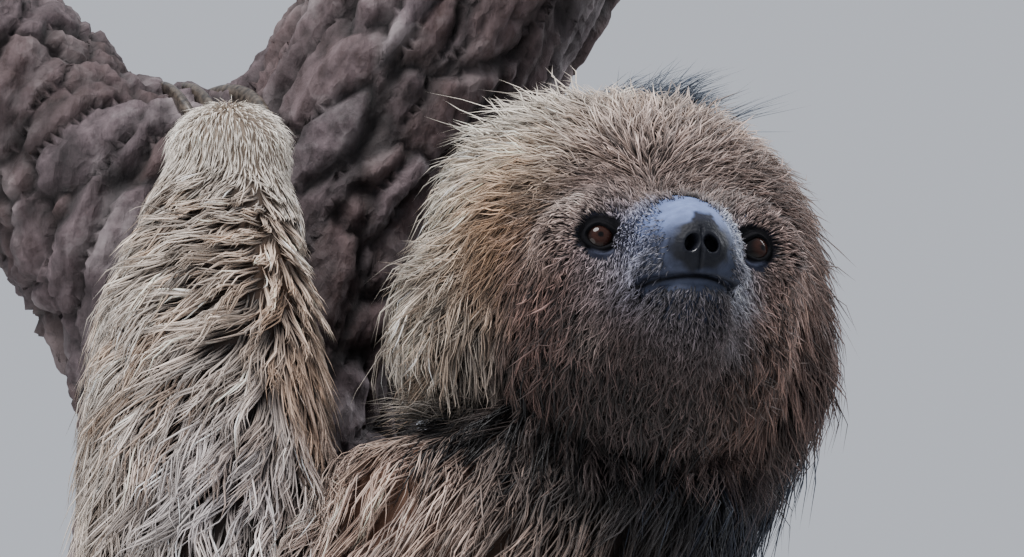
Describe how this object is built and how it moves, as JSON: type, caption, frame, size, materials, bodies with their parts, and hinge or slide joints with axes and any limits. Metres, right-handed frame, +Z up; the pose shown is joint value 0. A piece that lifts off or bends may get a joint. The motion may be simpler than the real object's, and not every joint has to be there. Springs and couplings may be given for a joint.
{
  "type": "three-toed sloth model",
  "caption": "Life-size still model of a maned three-toed sloth hugging a forked trunk and looking back over its shoulder, on a display stand.",
  "frame": {"origin": "centre of the underside of the stand's base", "axes": "+Z up, +X to the right of the pictured view, and the face looks along -Y, turned 14.5 degrees towards +X"},
  "size_m": [0.4009, 0.34, 0.7973],
  "materials": {
    "coat": "long shaggy fur, buff to grey-brown",
    "face_coat": "short coarse brown hair, longer and paler on the cheeks",
    "mane": "long black hair",
    "nose_skin": "bare blue-grey to black skin, moist at the nostrils",
    "eye": "wet, dark brown",
    "claw": "smooth horn",
    "bark": "rough fissured bark with grey lichen",
    "stand_wood": "satin lacquer",
    "stand_steel": "brushed"
  },
  "bodies": {
    "root": {"claw_foot_left_1": "claw", "claw_foot_left_2": "claw", "claw_foot_left_3": "claw", "claw_foot_right_1": "claw", "claw_foot_right_2": "claw", "claw_foot_right_3": "claw", "claw_hand_left_1": "claw", "claw_hand_left_2": "claw", "claw_hand_left_3": "claw", "claw_hand_right_1": "claw", "claw_hand_right_2": "claw", "claw_hand_right_3": "claw", "ear_left": "coat", "ear_right": "coat", "eye_left": "eye", "eye_right": "eye", "foot_left": "coat", "foot_right": "coat", "forearm_left": "coat", "forearm_right": "coat", "hand_left": "coat", "hand_right": "coat", "head": "face_coat", "mane": "mane", "neck": "coat", "nose": "nose_skin", "perch_trunk": "bark", "shin_left": "coat", "shin_right": "coat", "stand_base": "stand_wood", "stand_rod_left": "stand_steel", "stand_rod_right": "stand_steel", "tail": "coat", "thigh_left": "coat", "thigh_right": "coat", "torso": "coat", "upper_arm_left": "coat", "upper_arm_right": "coat"}
  },
  "joints": []
}
